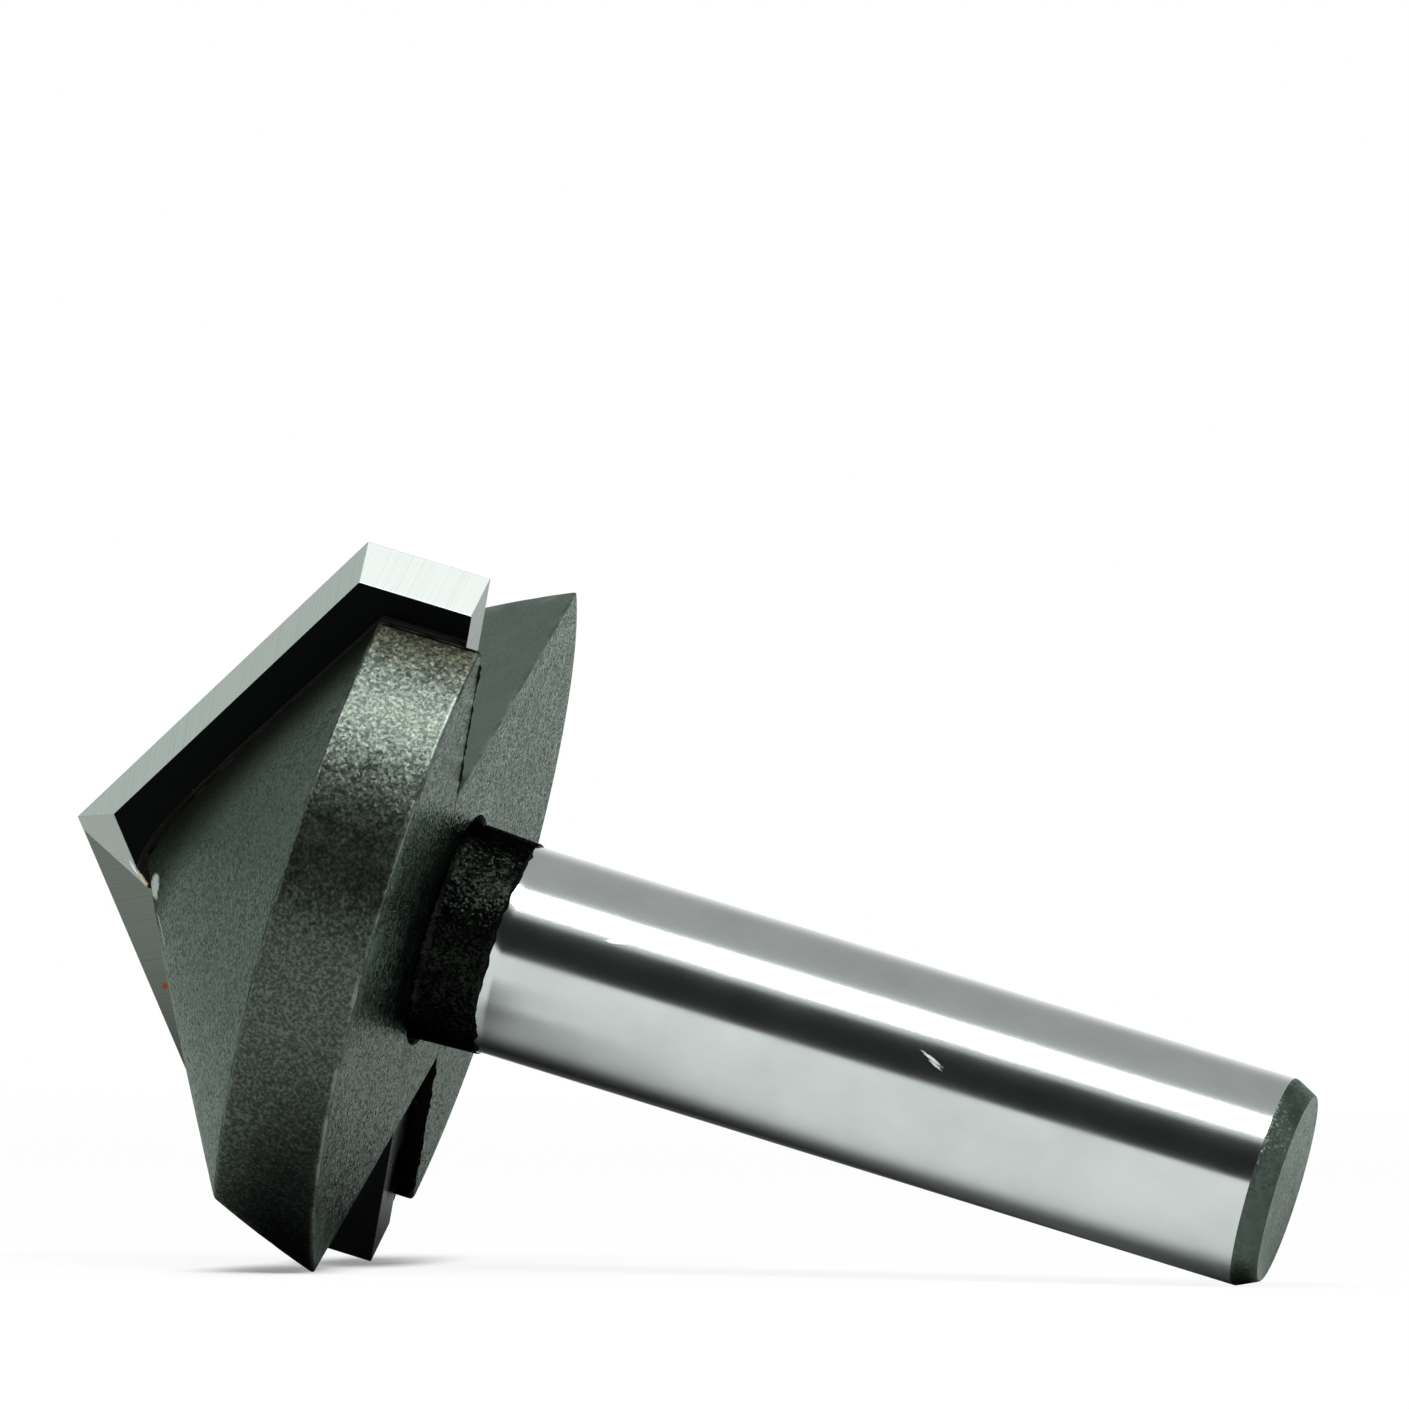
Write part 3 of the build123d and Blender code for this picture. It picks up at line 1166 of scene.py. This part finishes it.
@dataclass
class BrazeBead:
    """A bead of braze in the open, uneven in width as solder sets: one in the groove between a
    plate's back and the rounded edge of its seat, one across the seat behind the plate's end.
    Sizes are in millimetres in the cutter's own axes. The swells are shares of the size, and a
    taper at either end is as long as the bead over the number of tapers."""

    axes: ToolAxes
    body: CutterBody
    number: int
    seam: Seam
    height: float = 0.12
    end_breadth: float = 0.33
    edge_inset: float = 0.17
    lift: float = 0.02
    end_setback: float = 0.3
    first_height: float = 4.5
    last_height: float = 14.1
    long_swell: float = 0.15
    short_swell: float = 0.08
    tapers: float = 12.0
    around: int = 10
    rows: int = 160

    def path(self) -> np.ndarray:
        """Work out the bead's middle line: up the cone, round the shoulder and along the band, or
        straight from the gullet's wall to the seat's edge.

        Returns:
            A place a row.
        """
        body = self.body
        if self.seam is Seam.EDGE:
            heights = np.linspace(self.first_height, self.last_height, self.rows)
            turned = np.minimum((heights - body.cone_setback) * tan(body.cone_half_angle), body.head_radius)
            sideways = np.sqrt(turned ** 2 - body.seat_depth ** 2) - self.edge_inset
        else:
            heights = np.full(self.rows, body.head_back - self.end_setback)
            sideways = np.linspace(body.wall_at(heights[0]) + 0.1, body.head_radius - 0.5, self.rows)
        return np.stack([sideways, np.full(self.rows, body.seat_depth + self.lift), heights], axis=-1)

    def build(self) -> Object:
        """Carry a small oval along the middle line, with a size that wanders and closes to a
        point at both ends.

        Returns:
            The bead as a new object.
        """
        path = self.path()
        ahead = np.gradient(path, axis=0)
        ahead /= np.linalg.norm(ahead, axis=1)[:, None]
        up = np.array([0.0, 1.0, 0.0])
        across = np.cross(ahead, up)
        across /= np.linalg.norm(across, axis=1)[:, None]
        ends = np.sin(np.clip(np.linspace(0, 1, self.rows) * self.tapers, 0, 1) * pi / 2)
        uneven = (1 + self.long_swell * wander(self.rows, 9, 40 + self.number)
                  + self.short_swell * wander(self.rows, 4, 50 + self.number))
        size = ends * ends[::-1] * uneven
        breadth = self.height if self.seam is Seam.EDGE else self.end_breadth
        turn = (2 * pi * np.arange(self.around) / self.around)[None, :, None]
        ring = breadth * np.cos(turn) * across[:, None, :] + self.height * np.sin(turn) * up
        points = path[:, None, :] + size[:, None, None] * ring
        if self.number == 2:
            points = points * HALF_TURN
        return make_piece(f"braze_{self.seam.value}_bead_{self.number}",
                          self.axes.to_table(points.reshape(-1, 3)),
                          grid_quads(self.rows, self.around, True))

    def dress(self, piece: Object) -> None:
        """Give the bead, and with the end's bead the film under the plate, their finish.

        Args:
            piece: The bead.
        """
        # At the point the plate's backing-off has ground the braze clean as well
        finish = SilverBraze(self.axes, (
            Mark((-0.25, 2.25, 3.25), (-0.36, 0.14, 0.42), 0.5, 0.24),
            Mark((0.25, -2.25, 3.25), (0.36, -0.14, 0.42), 0.5, 0.24),
        )).material()
        piece.data.materials.append(finish)
        if self.seam is Seam.END:
            film = frame["nodes"][f"braze_seam_{self.number}"].material_slots[0]
            film.link = "OBJECT"
            film.material = finish
        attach(piece, "root")


@dataclass
class Studio:
    """A white table under a soft box, with a dark card behind the camera and a white sweep at
    the back. Lengths are in metres."""

    camera_target: Triple = (0.000294, 0.0, 0.021265)
    camera_distance: float = 0.6771
    camera_azimuth: float = radians(9.459)
    camera_elevation: float = radians(-0.234)
    camera_roll: float = radians(0.885)
    camera_lens: float = 464.0
    floor_size: float = 6.0
    floor_albedo: float = 0.88
    floor_lift: float = 0.9
    contact_lift: float = 0.2
    contact_depth: float = 0.22
    contacts: tuple[Triple, ...] = ((-0.0138, 0.0088, 0.0), (-0.0148, -0.0065, 0.0))
    contact_fade: tuple[float, float] = (0.0008, 0.0036)
    table_shade: float = 0.9
    far_table_shade: float = 0.4
    under_fade: tuple[float, float] = (0.001, 0.005)
    shadow_rise: tuple[float, float] = (-0.005, 0.008)
    shadow_fall: tuple[float, float] = (0.015, 0.06)
    shadow_side: tuple[float, float] = (-0.045, -0.015)
    sweep_start: float = 0.15
    sweep_end: float = 0.4
    box_elevation: float = radians(61)
    box_distance: float = 1.0
    box_size: tuple[float, float] = (1.0, 0.35)
    box_power: float = 10.5
    card_distance: float = 1.3
    card_width: float = 2.4
    card_elevation: float = radians(42)
    card_shade: str = "101312"
    card_roughness: float = 0.9
    sweep_level: float = 1.0
    ceiling_level: float = 0.5
    ceiling_fade: tuple[float, float] = (0.15, 0.75)
    ambient_level: float = 0.38

    def toward(self, azimuth: float, elevation: float) -> Vector:
        """Direction from the object, where azimuth 0 is -Y and turns towards +X."""
        return Vector((sin(azimuth) * cos(elevation), -cos(azimuth) * cos(elevation), sin(elevation)))

    def camera(self) -> None:
        """Set the camera at the photograph's angle."""
        lens = bpy.data.cameras.new("camera")
        lens.lens = self.camera_lens
        lens.sensor_width = 36.0
        lens.clip_start = 0.01
        lens.clip_end = 100.0
        camera = bpy.data.objects.new("camera", lens)
        back = self.toward(self.camera_azimuth, self.camera_elevation)
        camera.location = Vector(self.camera_target) + back * self.camera_distance
        roll = Matrix.Rotation(self.camera_roll, 3, "Z").to_quaternion()
        camera.rotation_mode = "QUATERNION"
        camera.rotation_quaternion = back.to_track_quat("Z", "Y") @ roll
        bpy.context.scene.collection.objects.link(camera)
        bpy.context.scene.camera = camera

    def flat_stage(self, name: str, corners: Sequence, material: Material) -> Object:
        """Make a flat four-cornered stage piece.

        Args:
            name: The piece's name.
            corners: Its four corners in metres.
            material: What it is made of.

        Returns:
            The new object.
        """
        mesh = bpy.data.meshes.new(name)
        mesh.from_pydata(corners, [], [(0, 1, 2, 3)])
        mesh.materials.append(material)
        piece = bpy.data.objects.new(name, mesh)
        bpy.context.scene.collection.objects.link(piece)
        return piece

    def contact_distance(self, add: Adder, place: NodeSocket) -> Node:
        """Measure how far a place on the table is from the nearest contact, where a step in depth
        counts less than one to the side.

        Args:
            add: Adds a node to the table's material.
            place: The place on the table.

        Returns:
            The node that gives the distance.
        """
        nearest = 1.0
        for contact in self.contacts:
            offset = add("VectorMath", {0: place, 1: contact}, operation="SUBTRACT")
            scaled = add("VectorMath", {0: offset, 1: (1.0, self.contact_depth, 1.0)}, operation="MULTIPLY")
            away = add("VectorMath", {0: scaled}, operation="LENGTH")
            nearest = add("Math", {0: away, 1: nearest}, operation="MINIMUM")
        return nearest

    def mirrored_shade(self, add: Adder, place: NodeSocket, nearest: Node) -> Node:
        """Say how dark the table is to all but the camera: just behind the object it lies in the
        object's shadow, as it does at the contacts.

        Args:
            add: Adds a node to the table's material.
            place: The place on the table.
            nearest: The distance from the nearest contact.

        Returns:
            The node that gives the shade.
        """
        parts = add("SeparateXYZ", {0: place})
        fades = (
            (parts.outputs[1], self.shadow_rise, 0.0, 1.0),
            (parts.outputs[1], self.shadow_fall, self.table_shade, self.far_table_shade),
            (parts.outputs[0], self.shadow_side, 0.0, 1.0),
            (nearest, self.under_fade, self.table_shade, 0.0),
        )
        rise, fall, side, under = (
            add("MapRange", {
                "Value": value, "From Min": fade[0], "From Max": fade[1], "To Min": first, "To Max": last,
            }, interpolation_type="SMOOTHSTEP")
            for value, fade, first, last in fades
        )
        back = add("Math", {0: rise, 1: fall}, operation="MULTIPLY")
        behind = add("Math", {0: back, 1: side}, operation="MULTIPLY")
        return add("Math", {0: behind, 1: under}, operation="MAXIMUM")

    def floor(self) -> None:
        """Lay the white table: matt white that takes the shadow near the object, with that shadow
        softened where the camera sees it, and plain white further out. What the metal mirrors of
        the table just behind the object is dim, as in that shadow."""
        material = bpy.data.materials.new("white_table")
        material.use_nodes = True
        material.node_tree.nodes.clear()
        add = partial(add_node, material.node_tree)
        place = add("TexCoord").outputs["Object"]
        seen = add("LightPath").outputs["Is Camera Ray"]
        nearest = self.contact_distance(add, place)
        softened = add("MapRange", {
            "Value": nearest, "From Min": self.contact_fade[0], "From Max": self.contact_fade[1],
            "To Min": self.contact_lift, "To Max": self.floor_lift,
        }, interpolation_type="SMOOTHSTEP")
        lift = add("Math", {0: seen, 1: softened}, operation="MULTIPLY")
        unseen = add("Math", {0: 1.0, 1: seen}, operation="SUBTRACT")
        dim = add("Math", {0: self.mirrored_shade(add, place, nearest), 1: unseen}, operation="MULTIPLY")
        shade = add("Mix", {
            0: dim, 6: (*(self.floor_albedo,) * 3, 1.0), 7: (0.0, 0.0, 0.0, 1.0),
        }, data_type="RGBA")
        matt = add("BsdfDiffuse", {"Color": shade})
        white = add("Emission", {"Color": (1.0, 1.0, 1.0, 1.0), "Strength": 1.0})
        near = add("MixShader", {0: lift, 1: matt, 2: white})
        reach = add("VectorMath", {0: place}, operation="LENGTH")
        beyond = add("MapRange", {
            "Value": reach, "From Min": self.sweep_start, "From Max": self.sweep_end,
        }, interpolation_type="SMOOTHSTEP")
        add("OutputMaterial", {"Surface": add("MixShader", {0: beyond, 1: near, 2: white})})
        half = self.floor_size / 2
        corners = [(-half, -half, 0), (half, -half, 0), (half, half, 0), (-half, half, 0)]
        self.flat_stage("table_top", corners, material)

    def dark_card(self) -> None:
        """Stand a dark card behind the camera, which the polished steel mirrors."""
        material = bpy.data.materials.new("dark_card_felt")
        material.use_nodes = True
        fill(material.node_tree.nodes["Principled BSDF"], {
            "Base Color": linear(self.card_shade), "Roughness": self.card_roughness,
        })
        centre = self.toward(self.camera_azimuth, 0.0) * self.card_distance
        across = Vector((0, 0, 1)).cross(centre).normalized() * self.card_width / 2
        top = Vector((0, 0, tan(self.card_elevation) * self.card_distance))
        corners = [centre - across, centre + across, centre + across + top, centre - across + top]
        card = self.flat_stage("dark_card", corners, material)
        card.visible_camera = False

    def soft_box(self) -> None:
        """Hang the soft box above and in front of the object."""
        lamp = bpy.data.lights.new("soft_box", "AREA")
        lamp.shape = "RECTANGLE"
        lamp.size, lamp.size_y = self.box_size
        lamp.energy = self.box_power
        box = bpy.data.objects.new("soft_box", lamp)
        way = self.toward(self.camera_azimuth, self.box_elevation)
        box.location = way * self.box_distance
        box.rotation_mode = "QUATERNION"
        box.rotation_quaternion = way.to_track_quat("Z", "Y")
        bpy.context.scene.collection.objects.link(box)

    def surroundings(self) -> None:
        """Make the world a white sweep that darkens towards the ceiling where metal mirrors it, a
        plain low fill on matt surfaces, and plain white where the camera sees it."""
        world = bpy.data.worlds.new("studio")
        bpy.context.scene.world = world
        world.use_nodes = True
        world.node_tree.nodes.clear()
        add = partial(add_node, world.node_tree)
        height = add("SeparateXYZ", {0: add("TexCoord").outputs["Generated"]}).outputs[2]
        level = add("MapRange", {
            "Value": height, "From Min": self.ceiling_fade[0], "From Max": self.ceiling_fade[1],
            "To Min": self.sweep_level, "To Max": self.ceiling_level,
        }, interpolation_type="SMOOTHSTEP")
        rays = add("LightPath").outputs
        mirrored = add("Math", {
            0: rays["Is Glossy Ray"], 1: rays["Is Transmission Ray"],
        }, operation="MAXIMUM")
        behind = add("Mix", {0: mirrored, 2: self.ambient_level, 3: level}, data_type="FLOAT")
        shown = add("Mix", {0: rays["Is Camera Ray"], 2: behind, 3: 1.0}, data_type="FLOAT")
        sky = add("Background", {"Color": (1.0, 1.0, 1.0, 1.0), "Strength": shown})
        add("OutputWorld", {"Surface": sky})

    def build(self) -> None:
        """Set up everything round the object."""
        self.camera()
        self.floor()
        self.dark_card()
        self.soft_box()
        self.surroundings()
        bpy.context.scene.view_settings.view_transform = "Standard"


def main() -> None:
    """Build the studio and every piece of the cutter, and report each piece."""
    logging.basicConfig(level=logging.INFO, format="%(name)s: %(message)s")
    Studio().build()
    axes = ToolAxes.from_frame()
    body = CutterBody(axes)
    makers = [body, *(CarbidePlate(axes, number) for number in (1, 2)),
              *(BrazeBead(axes, body, number, seam) for number in (1, 2) for seam in Seam)]
    for maker in makers:
        piece = maker.build()
        maker.dress(piece)
        mesh = piece.data
        log.info("%s: %d points, %d faces", piece.name, len(mesh.vertices), len(mesh.polygons))


if __name__ == "__main__":
    main()
